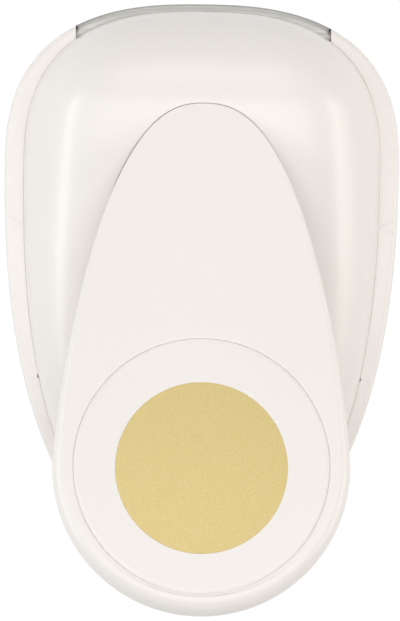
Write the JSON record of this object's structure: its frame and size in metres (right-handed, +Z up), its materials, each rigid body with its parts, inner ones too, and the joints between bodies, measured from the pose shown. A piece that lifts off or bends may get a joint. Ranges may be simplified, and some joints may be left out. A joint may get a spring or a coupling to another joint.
{
  "type": "circle punch",
  "caption": "Hand lever punch that cuts round pieces from paper: domed white case on a steel die plate, egg-shaped lever with a gold disc in its tail.",
  "frame": {"origin": "on the table, under the middle of the whole punch's length and width", "axes": "+Z up from the table, +Y from the paper mouth to the lever's tail, +X to the left of a user who stands behind the tail"},
  "size_m": [0.0896, 0.1354, 0.0613],
  "materials": {
    "white_plastic": "satin moulded white plastic",
    "gold": "satin gold, very fine speckle",
    "plate_steel": "ground steel plate",
    "bright_steel": "bright rolled steel",
    "zinc": "die-cast zinc with a ground cutting edge",
    "spring_wire": "drawn spring wire",
    "screw_zinc": "bright zinc plated"
  },
  "bodies": {
    "case": {"base_shell": "white_plastic", "cover": "white_plastic", "die_plate": "plate_steel", "guide_plate": "plate_steel", "slot_spacer": "bright_steel", "pivot_bracket": "bright_steel", "pivot_pin": "bright_steel", "retaining_ring_left": "bright_steel", "retaining_ring_right": "bright_steel", "guide_post_left": "bright_steel", "guide_post_right": "bright_steel", "return_spring_left": "spring_wire", "return_spring_right": "spring_wire", "case_screw_1": "screw_zinc", "case_screw_2": "screw_zinc", "case_screw_3": "screw_zinc", "case_screw_4": "screw_zinc", "plate_screw_1": "screw_zinc", "plate_screw_2": "screw_zinc", "plate_screw_3": "screw_zinc", "plate_screw_4": "screw_zinc", "bracket_screw_1": "screw_zinc", "bracket_screw_2": "screw_zinc", "bracket_screw_3": "screw_zinc", "bracket_screw_4": "screw_zinc"},
    "lever_arm": {"lever": "white_plastic", "lever_badge": "white_plastic", "gold_disc": "gold"},
    "punch": {"punch_block": "zinc", "thrust_plate": "bright_steel"}
  },
  "joints": [
    {"name": "lever_press", "type": "hinge", "parent": "case", "child": "lever_arm", "pos_m": [0, -0.04221, 0.0285], "axis": [-1, 0, 0], "range_deg": [0, 11.6]},
    {"name": "punch_stroke", "type": "slide", "parent": "case", "child": "punch", "axis": [0, 0, -1], "range_m": [0, 0.005], "stiffness_N_per_m": 500, "springref_m": -0.005, "deforming": ["return_spring_left", "return_spring_right"]}
  ],
  "couplings": [
    {"joint": "punch_stroke", "follows": "lever_press", "m_per_rad": 0.02457}
  ]
}
